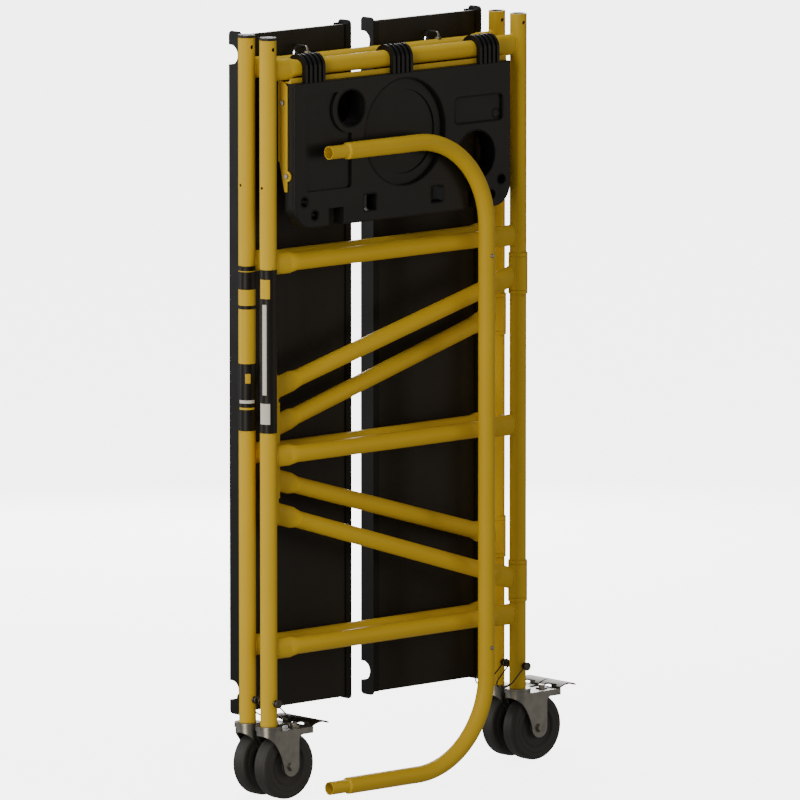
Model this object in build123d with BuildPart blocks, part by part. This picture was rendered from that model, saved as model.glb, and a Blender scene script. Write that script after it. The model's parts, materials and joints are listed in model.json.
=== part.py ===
from build123d import *
from math import cos, radians, sin, sqrt
import os

os.makedirs("parts", exist_ok=True)

# A folded baker scaffold kit: two ladder frames joined by a folding side truss, four casters,
# two decks hung behind, a tool tray hooked on the front top rung and a three-piece guard rail.
# Millimetres, +Z up, front towards -Y, origin on the floor at the middle of the outer box.

# ---- Driving dimensions ----

# Steel tube used all over, 1-1/4 in outside
TUBE_R = 15.9
WALL = 1.65
BORE_R = TUBE_R - WALL

# Ladder frames
POST_SPACING = 630
FRAME_GAP = 60
POST_BOTTOM = 142
POST_TOP = 1432
RUNG_HEIGHTS = (286, 649, 1011, 1374)
TOP_RUNG = RUNG_HEIGHTS[-1]
CROSS_HOLE_DROP = 17
CROSS_HOLE_R = 4
STUD_HOLE_HEIGHT = 1156
STUD_HOLE_R = 3

# Tube ends pressed to an upright oval where they are welded
OVAL_TALL = 20
OVAL_THIN = 10
PRESSED_LENGTH = 52
TAPER_LENGTH = 16

# Folding side truss
ARM_LENGTH = 600
SLEEVE_R = 18.25
SLEEVE_LENGTH = 64
RUN_CLEARANCE = 0.06
RING_HEIGHT = 7
RING_GAP = 0.3
FRONT_SLEEVES = (349, 938)
REAR_SLEEVES = (427, 854)
FRONT_MID_JOINS = (540, 768)
REAR_MID_JOINS = (603, 697)
MID_POST_BOTTOM = 518
MID_POST_TOP = 797
MID_SLEEVE_BOTTOM = 573
MID_SLEEVE_TOP = 739

# Post tops
CAP_LIP = 0.7
CAP_HEIGHT = 5
CAP_PLUG_DEPTH = 22
SOCKET_LENGTH = 60
SOCKET_BORE_R = 12.8

# Casters, trailing towards +X
WHEEL_R = 63.5
WHEEL_HALF = 16
HUB_HALF = 19
AXLE_TRAIL = 37
AXLE_R = 5
RACE_R = 25
RACE_HEIGHT = 4.5
STEM_TOP = 236
KINGPIN_R = 6
FORK_HALF = 23
FORK_STEEL = 3.4
FORK_TOP = POST_BOTTOM - 2 * RACE_HEIGHT
BRACKET_END = 91
BRACKET_SKIRT = 12
LEG_END_R = 19
NOSE_DEPTH = 8
PIVOT_X = 82
PIVOT_Z = 125.3
PIVOT_R = 2.5
LEVER_HALF = 9
LEVER_EYE_R = 4.1
PEDAL_NOTCH_HALF = 10
PEDAL_REACH = 125
PEDAL_HALF = 28
PEDAL_STEEL = 3
PEDAL_TOP = 143
PEDAL_START = 84
PEDAL_CREST = 102
PEDAL_FALL = 6
LEVER_STEEL = 7
BRAKE_BOLT_X = 62
BRAKE_PLATE = 17
BRAKE_PLATE_STEEL = 3
BRAKE_NUT_R = 5.5
BRAKE_NUT_HEIGHT = 5
AXLE_NUT_R = 8
AXLE_NUT_HEIGHT = 6

# Caster lock pins
LOCK_HEIGHT = 186
LOCK_R = 4
LOCK_HEAD_R = 8
LOCK_HALF = 26
LOCK_HEAD = 3.5
BAIL_WIRE_R = 1.3
BAIL_HALF = 21
BAIL_LEG = 38
BAIL_DROOP = 42
BAIL_EYE_GAP = 0.3
BAIL_EYE_HALF = 1.6

# Decks, standing upright behind the rear frame
DECK_WIDTH = 275
DECK_PITCH = 330
DECK_START = 13
DECK_FRONT = 90
DECK_DEPTH = 35
DECK_BOTTOM = 148
DECK_TOP = 1438
RAIL_WIDTH = 14
RAIL_STEEL = 2.5
TAB_LENGTH = 6.5
TAB_R = 8
NOTCH_R = 18.4
HOOK_NOTCH_DEPTH = 25
NOTCH_INSET = 45
PANEL_THICKNESS = 9
RIB_COUNT = 5
RIB_HEIGHT = 26
RIB_DEPTH = 18
HANG_HEIGHT = 1402
HANG_PIN_R = 2.5
HANG_SLOT_GAP = 0.4
HANG_TRAVEL = 14
HANG_HEAD_R = 4.5

# Tool tray
TRAY_START = 43
TRAY_END = 586
TRAY_FRONT = -27
TRAY_BACK = 1
TRAY_BOTTOM = 1075
TRAY_TOP = 1348
TRAY_CORNER_R = 40
TRAY_WALL = 4
HOOK_R = TUBE_R + 0.3
HOOK_RIB_R = 26
HOOK_BASE_R = 22.5
HOOK_WIDTH = 50
HOOK_RIBS = 5
HOOK_RIB_WIDTH = 6
HOOK_SPREAD = 219
HOOK_TIP_ANGLE = -38
HOOK_FOOT = 12
# moulded into the face: distance from the left post, height, then a radius or a width and height
BASIN = (319, 1236, 100)
BASIN_STEP_R = 80
SHALLOW_BASIN = (127, 1234, 114, 182)
SMALL_BASIN = (505.5, 1263, 119, 48)
BUCKET_HOLES = ((183, 1292, 34), (498, 1176, 46.5))
SQUARE_HOLES = ((231, 1111), (399, 1111))
SQUARE_HALF = 15
TOOL_HOLE_R = 8.5
TOOL_HOLE_OFFSETS = ((248, 1125), (222, 1098))
NOTCHES = (145.5, 484.5)
NOTCH_WIDTH = 37
NOTCH_HEIGHT = 33
BASIN_DEPTH = 11
STEP_DEPTH = 8
SHALLOW_DEPTH = 5
BASIN_CORNER_R = 8
SQUARE_CORNER_R = 4
BUCKET_RIM = 12
BUCKET_TUBE_DEPTH = 39

# Tray steelwork
BAR_STEEL = 3
BAR_FRONT = -15
BAR_BOLTS = (4, 204, 340, 539)
BAR_BOLT_R = 3
BAR_BOLT_HEAD = 2
ARM_TOP = 1350
ARM_WAIST = 1200
ARM_BOTTOM = 1144
ARM_FRONT = -8
ARM_BACK = 14
ARM_CHAMFER = 8
ARM_STEEL = 3
ARM_LIP = 6
UPPER_BOLT = (3, 1311)
LOWER_BOLT = (-7.5, 1174)
EAR_R = 10
ARM_BOLT_R = 5
ARM_BOLT_HEAD = 3.5

# Guard rail
RAIL_PLANE = -47
RAIL_UPRIGHT_X = 507
RAIL_TIP_X = 109
RAIL_BEND_R = 174
RAIL_LEG_SPACING = 1200
RAIL_FOOT = TUBE_R
SPIGOT_R = 12.5
SPIGOT_LENGTH = 42
SPIGOT_TAPER = 4
SPLICES = (263, 964.5)
SPLICE_OVERLAP = 45
SPLICE_R = BORE_R - 0.05
BUTTON_OFFSET = 23
BUTTON_R = 3.8
BUTTON_PROUD = 2.5
BUTTON_LENGTH = 9

# ---- Places worked out from the dimensions ----

X_LEFT = -(POST_SPACING + PEDAL_REACH + AXLE_TRAIL - WHEEL_R) / 2
X_RIGHT = X_LEFT + POST_SPACING
RAIL_FRONT = RAIL_PLANE - TUBE_R - BUTTON_PROUD
Y_FRONT = -(DECK_FRONT + DECK_DEPTH + RAIL_FRONT) / 2
Y_REAR = Y_FRONT + FRAME_GAP
X_MID = X_RIGHT - sqrt(ARM_LENGTH**2 - (FRAME_GAP / 2) ** 2)
Y_MID = Y_FRONT + FRAME_GAP / 2

FRAMES = (("front", Y_FRONT), ("rear", Y_REAR))
SIDES = (("left", X_LEFT), ("right", X_RIGHT))
CORNERS = [(f"{frame}_{side}", x, y) for frame, y in FRAMES for side, x in SIDES]


def save(piece, name):
    """Name a finished piece and write its file."""
    piece.part.label = name
    export_step(piece.part, f"parts/{name}.step")


def pressed_tube(start, end):
    """A round tube between two points, both ends pressed to an upright oval."""
    start, end = Vector(*start), Vector(*end)
    along = (end - start).normalized()
    length = (end - start).length
    oval_stations = (0, PRESSED_LENGTH, length - PRESSED_LENGTH, length)
    stations = sorted(oval_stations + (PRESSED_LENGTH + TAPER_LENGTH, length - PRESSED_LENGTH - TAPER_LENGTH))
    with BuildPart() as tube:
        for wall, mode in ((0, Mode.ADD), (WALL, Mode.SUBTRACT)):
            for distance in stations:
                with BuildSketch(Plane(start + along * distance, x_dir=(0, 0, 1), z_dir=along)):
                    if distance in oval_stations:
                        Ellipse(OVAL_TALL - wall, OVAL_THIN - wall)
                    else:
                        Ellipse(TUBE_R - wall, TUBE_R - wall)
            loft(ruled=True, mode=mode)
    return tube.part


# ---- Ladder frames: posts, rungs and the rings that hold the truss sleeves ----

for frame, y in FRAMES:
    for side, x in SIDES:
        with BuildPart() as post:
            with BuildSketch(Plane((x, y, POST_BOTTOM))):
                Circle(TUBE_R)
                Circle(BORE_R, mode=Mode.SUBTRACT)
            extrude(amount=POST_TOP - POST_BOTTOM)
            # cross-holes for the rail pin at the top and the caster lock pin at the foot
            with BuildSketch(Plane.XZ.offset(-y)):
                with Locations((x, POST_TOP - CROSS_HOLE_DROP)):
                    Circle(CROSS_HOLE_R)
                with Locations((x, LOCK_HEIGHT)):
                    Circle(LOCK_R + 0.1)
            extrude(amount=TUBE_R + 1, both=True, mode=Mode.SUBTRACT)
            if side == "left":
                with BuildSketch(Plane.YZ.offset(x)):
                    with Locations((y, STUD_HOLE_HEIGHT)):
                        Circle(STUD_HOLE_R)
                extrude(amount=-TUBE_R - 1, mode=Mode.SUBTRACT)
        save(post, f"{frame}_{side}_post")

    rung = pressed_tube((X_LEFT, y, 0), (X_RIGHT, y, 0))
    with BuildPart() as rungs:
        for height in RUNG_HEIGHTS:
            with Locations((0, 0, height)):
                add(rung)
        # coped ends that sit against the posts
        for side, x in SIDES:
            with Locations((x, y, (POST_BOTTOM + POST_TOP) / 2)):
                Cylinder(TUBE_R, POST_TOP - POST_BOTTOM, mode=Mode.SUBTRACT)
    save(rungs, f"{frame}_rungs")

    with BuildPart() as rings:
        for height in FRONT_SLEEVES if frame == "front" else REAR_SLEEVES:
            for foot in (-SLEEVE_LENGTH / 2 - RING_GAP - RING_HEIGHT, SLEEVE_LENGTH / 2 + RING_GAP):
                with BuildSketch(Plane((X_RIGHT, y, height + foot))):
                    Circle(SLEEVE_R)
                    Circle(TUBE_R, mode=Mode.SUBTRACT)
                extrude(amount=RING_HEIGHT)
    save(rings, f"{frame}_stop_rings")

    # plastic cap pressed into the closed left post
    with BuildPart() as cap:
        with BuildSketch(Plane((X_LEFT, y, POST_TOP))):
            Circle(TUBE_R + CAP_LIP)
        extrude(amount=CAP_HEIGHT)
        fillet(cap.edges().group_by(Axis.Z)[-1], 2)
        with BuildSketch(Plane((X_LEFT, y, POST_TOP))):
            Circle(BORE_R)
            Circle(BORE_R - 2.5, mode=Mode.SUBTRACT)
        extrude(amount=-CAP_PLUG_DEPTH)
        with BuildSketch(Plane.XZ.offset(-y)):
            with Locations((X_LEFT, POST_TOP - CROSS_HOLE_DROP)):
                Circle(CROSS_HOLE_R)
        extrude(amount=TUBE_R, both=True, mode=Mode.SUBTRACT)
    save(cap, f"{frame}_post_cap")

    # socket bush in the open right post, which takes a guard rail spigot
    with BuildPart() as socket:
        with BuildSketch(Plane((X_RIGHT, y, POST_TOP))):
            Circle(BORE_R)
            Circle(SOCKET_BORE_R, mode=Mode.SUBTRACT)
        extrude(amount=-SOCKET_LENGTH)
        with BuildSketch(Plane.XZ.offset(-y)):
            with Locations((X_RIGHT, POST_TOP - CROSS_HOLE_DROP)):
                Circle(CROSS_HOLE_R)
        extrude(amount=TUBE_R, both=True, mode=Mode.SUBTRACT)
    save(socket, f"{frame}_post_socket")

    # ---- Caster stems, with the fixed upper race and the kingpin the fork swivels on ----
    with BuildPart() as stems:
        for side, x in SIDES:
            with BuildSketch(Plane((x, y, POST_BOTTOM))):
                Circle(BORE_R - 0.1)
            extrude(amount=STEM_TOP - POST_BOTTOM)
            with BuildSketch(Plane((x, y, POST_BOTTOM))):
                Circle(RACE_R)
            extrude(amount=-RACE_HEIGHT + 0.3)
            with BuildSketch(Plane((x, y, POST_BOTTOM))):
                Circle(KINGPIN_R)
            extrude(amount=FORK_TOP - FORK_STEEL - POST_BOTTOM - 2)
            with BuildSketch(Plane((x, y, FORK_TOP - FORK_STEEL - 0.4))):
                Circle(KINGPIN_R + 4)
            extrude(amount=-3)
            with BuildSketch(Plane.XZ.offset(-y)):
                with Locations((x, LOCK_HEIGHT)):
                    Circle(LOCK_R + 0.1)
            extrude(amount=TUBE_R, both=True, mode=Mode.SUBTRACT)
    save(stems, f"{frame}_caster_stems")

    # lock pins that hold the stems in the posts, head to the front
    with BuildPart() as pins:
        for side, x in SIDES:
            with BuildSketch(Plane((x, y, LOCK_HEIGHT), x_dir=(1, 0, 0), z_dir=(0, -1, 0))):
                Circle(LOCK_R)
            extrude(amount=LOCK_HALF, both=True)
            with BuildSketch(Plane((x, y - LOCK_HALF, LOCK_HEIGHT), x_dir=(1, 0, 0), z_dir=(0, -1, 0))):
                Circle(LOCK_HEAD_R)
            extrude(amount=LOCK_HEAD)
        fillet(pins.edges().group_by(Axis.Y)[0], 1.2)
        chamfer(pins.edges().group_by(Axis.Y)[-1], 1.5)
    save(pins, f"{frame}_lock_pins")

# ---- Folding side truss: a K-shaped brace on each right post, hinged together on the left ----

for name, y, heights in (("front_brace", Y_FRONT, FRONT_SLEEVES), ("rear_brace", Y_REAR, REAR_SLEEVES)):
    with BuildPart() as sleeves:
        for height in heights:
            with BuildSketch(Plane((X_RIGHT, y, height - SLEEVE_LENGTH / 2))):
                Circle(SLEEVE_R)
                Circle(TUBE_R + RUN_CLEARANCE, mode=Mode.SUBTRACT)
            extrude(amount=SLEEVE_LENGTH)
    save(sleeves, f"{name}_sleeves")

    mid_joins = FRONT_MID_JOINS if name == "front_brace" else REAR_MID_JOINS
    mid_r = TUBE_R if name == "front_brace" else SLEEVE_R
    for level, height, mid_height in zip(("lower", "upper"), heights, mid_joins):
        blank = pressed_tube((X_MID, Y_MID, mid_height), (X_RIGHT, y, height))
        with BuildPart() as diagonal:
            add(blank)
            with Locations((X_MID, Y_MID, mid_height)):
                Cylinder(mid_r, 4 * OVAL_TALL, mode=Mode.SUBTRACT)
            with Locations((X_RIGHT, y, height)):
                Cylinder(SLEEVE_R, 4 * OVAL_TALL, mode=Mode.SUBTRACT)
        save(diagonal, f"{name}_{level}_tube")

with BuildPart() as mid_post:
    with BuildSketch(Plane((X_MID, Y_MID, MID_POST_BOTTOM))):
        Circle(TUBE_R)
        Circle(BORE_R, mode=Mode.SUBTRACT)
    extrude(amount=MID_POST_TOP - MID_POST_BOTTOM)
save(mid_post, "front_brace_mid_post")

with BuildPart() as mid_rings:
    for foot in (MID_SLEEVE_BOTTOM - RING_GAP - RING_HEIGHT, MID_SLEEVE_TOP + RING_GAP):
        with BuildSketch(Plane((X_MID, Y_MID, foot))):
            Circle(SLEEVE_R)
            Circle(TUBE_R, mode=Mode.SUBTRACT)
        extrude(amount=RING_HEIGHT)
save(mid_rings, "front_brace_mid_rings")

with BuildPart() as mid_sleeve:
    with BuildSketch(Plane((X_MID, Y_MID, MID_SLEEVE_BOTTOM))):
        Circle(SLEEVE_R)
        Circle(TUBE_R + RUN_CLEARANCE, mode=Mode.SUBTRACT)
    extrude(amount=MID_SLEEVE_TOP - MID_SLEEVE_BOTTOM)
save(mid_sleeve, "rear_brace_mid_sleeve")

# ---- Casters: pressed fork, axle and brake fasteners, wheel and brake pedal ----

for corner, x, y in CORNERS:
    side_view = Plane((x, y, 0), x_dir=(1, 0, 0), z_dir=(0, -1, 0))

    with BuildPart() as fork:
        # drawn shell with straight sides and a round front
        with BuildSketch(Plane((x, y, WHEEL_R - LEG_END_R))):
            for half, end, mode in ((FORK_HALF, 0, Mode.ADD), (FORK_HALF - FORK_STEEL, 2, Mode.SUBTRACT)):
                Circle(half, mode=mode)
                with Locations(((BRACKET_END + end) / 2, 0)):
                    Rectangle(BRACKET_END + end, 2 * half, mode=mode)
        extrude(amount=FORK_TOP - WHEEL_R + LEG_END_R)
        # trimmed from the side: a sweeping front edge, legs round at the axle, a brake bracket behind
        with BuildSketch(side_view):
            with BuildLine():
                rear = AXLE_TRAIL + LEG_END_R
                front = AXLE_TRAIL - LEG_END_R
                nose = -FORK_HALF - 1
                skirt = FORK_TOP - BRACKET_SKIRT
                top = Line((nose, FORK_TOP), (BRACKET_END, FORK_TOP))
                end = Line(top @ 1, (BRACKET_END, skirt))
                under = Line(end @ 1, (rear + 10, skirt))
                elbow = TangentArc(under @ 1, (rear, skirt - 10), tangent=(-1, 0))
                back = Line(elbow @ 1, (rear, WHEEL_R))
                foot = ThreePointArc(back @ 1, (AXLE_TRAIL, WHEEL_R - LEG_END_R), (front, WHEEL_R))
                sweep_edge = Bezier(foot @ 1, (front - 6, 88), (-4, 118), (nose, FORK_TOP - NOSE_DEPTH))
                Line(sweep_edge @ 1, top @ 0)
            make_face()
            with Locations((AXLE_TRAIL, WHEEL_R)):
                Circle(AXLE_R, mode=Mode.SUBTRACT)
            with Locations((PIVOT_X, PIVOT_Z)):
                Circle(PIVOT_R, mode=Mode.SUBTRACT)
        extrude(amount=FORK_HALF + 1, both=True, mode=Mode.INTERSECT)
        # crown plate and the lower race
        with BuildSketch(Plane((x, y, FORK_TOP))):
            Circle(FORK_HALF)
            with Locations((BRACKET_END / 2, 0)):
                Rectangle(BRACKET_END, 2 * FORK_HALF)
            Circle(KINGPIN_R + RUN_CLEARANCE, mode=Mode.SUBTRACT)
        extrude(amount=-FORK_STEEL)
        with BuildSketch(Plane((x, y, FORK_TOP))):
            Circle(RACE_R)
            Circle(KINGPIN_R + RUN_CLEARANCE, mode=Mode.SUBTRACT)
        extrude(amount=RACE_HEIGHT)
    save(fork, f"{corner}_caster_fork")

    with BuildPart() as fasteners:
        # axle bolt with a hexagon head and nut
        with BuildSketch(side_view.offset(-FORK_HALF - 1)):
            with Locations((AXLE_TRAIL, WHEEL_R)):
                Circle(AXLE_R)
        extrude(amount=2 * FORK_HALF + 2)
        for face in (FORK_HALF, -FORK_HALF - AXLE_NUT_HEIGHT):
            with BuildSketch(side_view.offset(face)):
                with Locations((AXLE_TRAIL, WHEEL_R)):
                    RegularPolygon(AXLE_NUT_R, 6, major_radius=False)
            extrude(amount=AXLE_NUT_HEIGHT)
        # pedal pivot pin
        with BuildSketch(side_view.offset(-FORK_HALF)):
            with Locations((PIVOT_X, PIVOT_Z)):
                Circle(PIVOT_R)
        extrude(amount=2 * FORK_HALF)
        # brake adjusting nut on the bracket
        with BuildSketch(Plane((x + BRAKE_BOLT_X, y, FORK_TOP))):
            RectangleRounded(BRAKE_PLATE, BRAKE_PLATE, 2)
        extrude(amount=BRAKE_PLATE_STEEL)
        with BuildSketch(Plane((x + BRAKE_BOLT_X, y, FORK_TOP + BRAKE_PLATE_STEEL))):
            RegularPolygon(BRAKE_NUT_R, 6, major_radius=False)
        extrude(amount=BRAKE_NUT_HEIGHT)
    save(fasteners, f"{corner}_caster_bolts")

    with BuildPart() as wheel:
        with BuildSketch(Plane((x + AXLE_TRAIL, y, WHEEL_R), x_dir=(0, 1, 0), z_dir=(1, 0, 0))):
            with BuildLine():
                bore = AXLE_R + RUN_CLEARANCE
                crown = 8
                web = WHEEL_HALF - 3
                step_r = 0.62 * WHEEL_R
                Polyline((0, bore), (HUB_HALF, bore), (HUB_HALF, 14), (web, 16), (web, step_r - 1.5),
                         (WHEEL_HALF, step_r), (WHEEL_HALF, WHEEL_R - crown))
                tread = TangentArc((WHEEL_HALF, WHEEL_R - crown), (WHEEL_HALF - crown, WHEEL_R), tangent=(0, 1))
                Line(tread @ 1, (0, WHEEL_R))
                mirror(about=Plane.YZ)
            make_face()
        revolve(axis=Axis((x + AXLE_TRAIL, y, WHEEL_R), (0, 1, 0)))
    save(wheel, f"{corner}_caster_wheel")

    with BuildPart() as pedal:
        # curved tread plate
        with BuildSketch(side_view.offset(-PEDAL_HALF)):
            with BuildLine():
                back_edge = PEDAL_TOP - PEDAL_FALL
                tip = PEDAL_TOP - PEDAL_FALL + 2
                plate_top = ThreePointArc((PEDAL_START, back_edge), (PEDAL_CREST, PEDAL_TOP), (PEDAL_REACH, tip))
                edge = Line(plate_top @ 1, (PEDAL_REACH, tip - PEDAL_STEEL))
                below = ThreePointArc(edge @ 1, (PEDAL_CREST, PEDAL_TOP - PEDAL_STEEL),
                                      (PEDAL_START, back_edge - PEDAL_STEEL))
                Line(below @ 1, plate_top @ 0)
            make_face()
        extrude(amount=2 * PEDAL_HALF)
        with BuildSketch(Plane((x, y, PEDAL_TOP - 12))):
            with Locations((PEDAL_START, 0)):
                SlotCenterToCenter(2 * PEDAL_NOTCH_HALF, 12, rotation=90)
        extrude(amount=16, mode=Mode.SUBTRACT)
        # lever that comes out of the bracket's open end and carries the plate
        with BuildSketch(side_view.offset(-LEVER_HALF)):
            with Locations((PIVOT_X, PIVOT_Z)):
                Circle(LEVER_EYE_R)
            lever_in = PEDAL_CREST - LEVER_STEEL
            Polygon((PIVOT_X, PIVOT_Z - LEVER_EYE_R), (PEDAL_CREST, PIVOT_Z - 3), (PEDAL_CREST, PEDAL_TOP - 2),
                    (lever_in, PEDAL_TOP - 2), (lever_in, PIVOT_Z + LEVER_EYE_R),
                    (PIVOT_X, PIVOT_Z + LEVER_EYE_R), align=None)
            with Locations((PIVOT_X, PIVOT_Z)):
                Circle(PIVOT_R + RUN_CLEARANCE, mode=Mode.SUBTRACT)
        extrude(amount=2 * LEVER_HALF)
    save(pedal, f"{corner}_caster_pedal")

    # wire bail that swings on the lock pin and droops beside the post, towards the other post
    reach = 1 if x == X_LEFT else -1
    droop = radians(BAIL_DROOP)
    outwards = Vector(reach * cos(droop), 0, -sin(droop))
    bail_plane = Plane((x, y, LOCK_HEIGHT), x_dir=outwards, z_dir=outwards.cross(Vector(0, 1, 0)))
    eye_r = LOCK_R + BAIL_EYE_GAP
    with BuildPart() as bail:
        with BuildLine(bail_plane) as loop:
            near = Line((eye_r + BAIL_WIRE_R, -BAIL_HALF), (BAIL_LEG, -BAIL_HALF))
            bow = ThreePointArc(near @ 1, (BAIL_LEG + BAIL_HALF, 0), (BAIL_LEG, BAIL_HALF))
            Line(bow @ 1, (eye_r + BAIL_WIRE_R, BAIL_HALF))
        with BuildSketch(Plane(loop.wires()[0] @ 0, z_dir=loop.wires()[0] % 0)):
            Circle(BAIL_WIRE_R)
        sweep(path=loop.wires()[0])
        for eye in (-BAIL_HALF, BAIL_HALF):
            with BuildSketch(side_view.offset(-eye)):
                with Locations((0, LOCK_HEIGHT)):
                    Circle(eye_r + 2 * BAIL_WIRE_R)
                    Circle(eye_r, mode=Mode.SUBTRACT)
            extrude(amount=BAIL_EYE_HALF, both=True)
    save(bail, f"{corner}_lock_bail")

# ---- Decks: a panel in a channel frame with hook notches, hung on two pins of the rear rung ----

deck_front = Y_FRONT + DECK_FRONT
deck_back = deck_front + DECK_DEPTH
notch_heights = (DECK_BOTTOM + NOTCH_INSET, DECK_TOP - NOTCH_INSET)
deck_starts = [X_LEFT + DECK_START + n * DECK_PITCH for n in range(2)]

for side, start in zip(("left", "right"), deck_starts):
    middle = start + DECK_WIDTH / 2
    inner_width = DECK_WIDTH - 2 * RAIL_STEEL
    panel_top = DECK_TOP - TAB_LENGTH
    panel_bottom = DECK_BOTTOM + TAB_LENGTH

    with BuildPart() as panel:
        with BuildSketch(Plane((middle, deck_front + RAIL_STEEL, 0), x_dir=(1, 0, 0), z_dir=(0, -1, 0))):
            with Locations((0, (panel_top + panel_bottom) / 2)):
                Rectangle(inner_width, panel_top - panel_bottom)
            # keyhole: narrow slot above, entry hole below
            with Locations((0, HANG_HEIGHT - HANG_TRAVEL / 2)):
                SlotCenterToCenter(HANG_TRAVEL, 2 * (HANG_PIN_R + HANG_SLOT_GAP), rotation=90, mode=Mode.SUBTRACT)
            with Locations((0, HANG_HEIGHT - HANG_TRAVEL)):
                Circle(HANG_HEAD_R + 1, mode=Mode.SUBTRACT)
        extrude(amount=-PANEL_THICKNESS)
    save(panel, f"{side}_deck_panel")

    with BuildPart() as frame:
        for web, inward in ((start, 1), (start + DECK_WIDTH, -1)):
            # web of the channel, with rounded end tabs and the two hook notches
            with BuildSketch(Plane((web, 0, 0), x_dir=(0, 1, 0), z_dir=(1, 0, 0))):
                with Locations((deck_front + DECK_DEPTH / 2, (DECK_TOP + DECK_BOTTOM) / 2)):
                    RectangleRounded(DECK_DEPTH, DECK_TOP - DECK_BOTTOM, TAB_R)
                for height in notch_heights:
                    with Locations((deck_back - HOOK_NOTCH_DEPTH + NOTCH_R, height)):
                        Circle(NOTCH_R, mode=Mode.SUBTRACT)
                    with Locations((deck_back, height)):
                        Rectangle(2 * (HOOK_NOTCH_DEPTH - NOTCH_R), 2 * NOTCH_R, mode=Mode.SUBTRACT)
            extrude(amount=inward * RAIL_STEEL)
            # flanges, front and back
            flange_x = web + inward * RAIL_WIDTH / 2
            with BuildSketch(Plane((0, 0, panel_bottom))):
                with Locations((flange_x, deck_front + RAIL_STEEL / 2), (flange_x, deck_back - RAIL_STEEL / 2)):
                    Rectangle(RAIL_WIDTH, RAIL_STEEL)
            extrude(amount=panel_top - panel_bottom)
            for height in notch_heights:
                with Locations((flange_x, deck_back, height)):
                    Box(2 * RAIL_WIDTH, 2 * (HOOK_NOTCH_DEPTH - NOTCH_R), 2 * NOTCH_R, mode=Mode.SUBTRACT)
        # cross ribs under the panel
        rib_front = deck_front + RAIL_STEEL + PANEL_THICKNESS
        rib_span = notch_heights[1] - notch_heights[0] - 160
        for n in range(RIB_COUNT):
            height = notch_heights[0] + 80 + rib_span * n / (RIB_COUNT - 1)
            with BuildSketch(Plane((start + RAIL_STEEL / 2, 0, 0), x_dir=(0, 1, 0), z_dir=(1, 0, 0))):
                with Locations((rib_front + RAIL_STEEL / 2, height)):
                    Rectangle(RAIL_STEEL, RIB_HEIGHT)
                for lip in (-1, 1):
                    with Locations((rib_front + RIB_DEPTH / 2, height + lip * (RIB_HEIGHT - RAIL_STEEL) / 2)):
                        Rectangle(RIB_DEPTH, RAIL_STEEL)
            extrude(amount=DECK_WIDTH - RAIL_STEEL)
    save(frame, f"{side}_deck_frame")

with BuildPart() as storage_pins:
    for start in deck_starts:
        middle = start + DECK_WIDTH / 2
        panel_back = deck_front + RAIL_STEEL + PANEL_THICKNESS
        # nut on the rung, upright stalk, and the arm that passes through the keyhole
        with BuildSketch(Plane((middle, Y_REAR, TOP_RUNG + TUBE_R - 0.6))):
            RegularPolygon(6.5, 6)
        extrude(amount=4.6)
        with BuildLine() as arm:
            stalk = Line((middle, Y_REAR, TOP_RUNG + TUBE_R - 2), (middle, Y_REAR, HANG_HEIGHT - 5))
            turn = TangentArc(stalk @ 1, (middle, Y_REAR + 5, HANG_HEIGHT), tangent=(0, 0, 1))
            Line(turn @ 1, (middle, panel_back + 3, HANG_HEIGHT))
        with BuildSketch(Plane(stalk @ 0, z_dir=(0, 0, 1))):
            Circle(HANG_PIN_R)
        sweep(path=arm.wires()[0])
        with BuildSketch(Plane((middle, panel_back + 0.5, HANG_HEIGHT), x_dir=(1, 0, 0), z_dir=(0, 1, 0))):
            Circle(HANG_HEAD_R)
        extrude(amount=2.5)
save(storage_pins, "deck_storage_pins")

# ---- Tool tray: a moulded tray with three ribbed hooks over the front top rung ----

tray_left = X_LEFT + TRAY_START
tray_right = X_LEFT + TRAY_END
tray_middle = (tray_left + tray_right) / 2
tray_front = Y_FRONT + TRAY_FRONT
tray_back = Y_FRONT + TRAY_BACK
tray_depth = TRAY_BACK - TRAY_FRONT
face = Plane((0, tray_front, 0), x_dir=(1, 0, 0), z_dir=(0, -1, 0))

round_holes = [(X_LEFT + x, height, radius) for x, height, radius in BUCKET_HOLES]
round_holes += [(tray_middle + hand * dx, height, TOOL_HOLE_R)
                for hand in (-1, 1) for dx, height in TOOL_HOLE_OFFSETS]
basin_centre = (X_LEFT + BASIN[0], BASIN[1])

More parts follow.
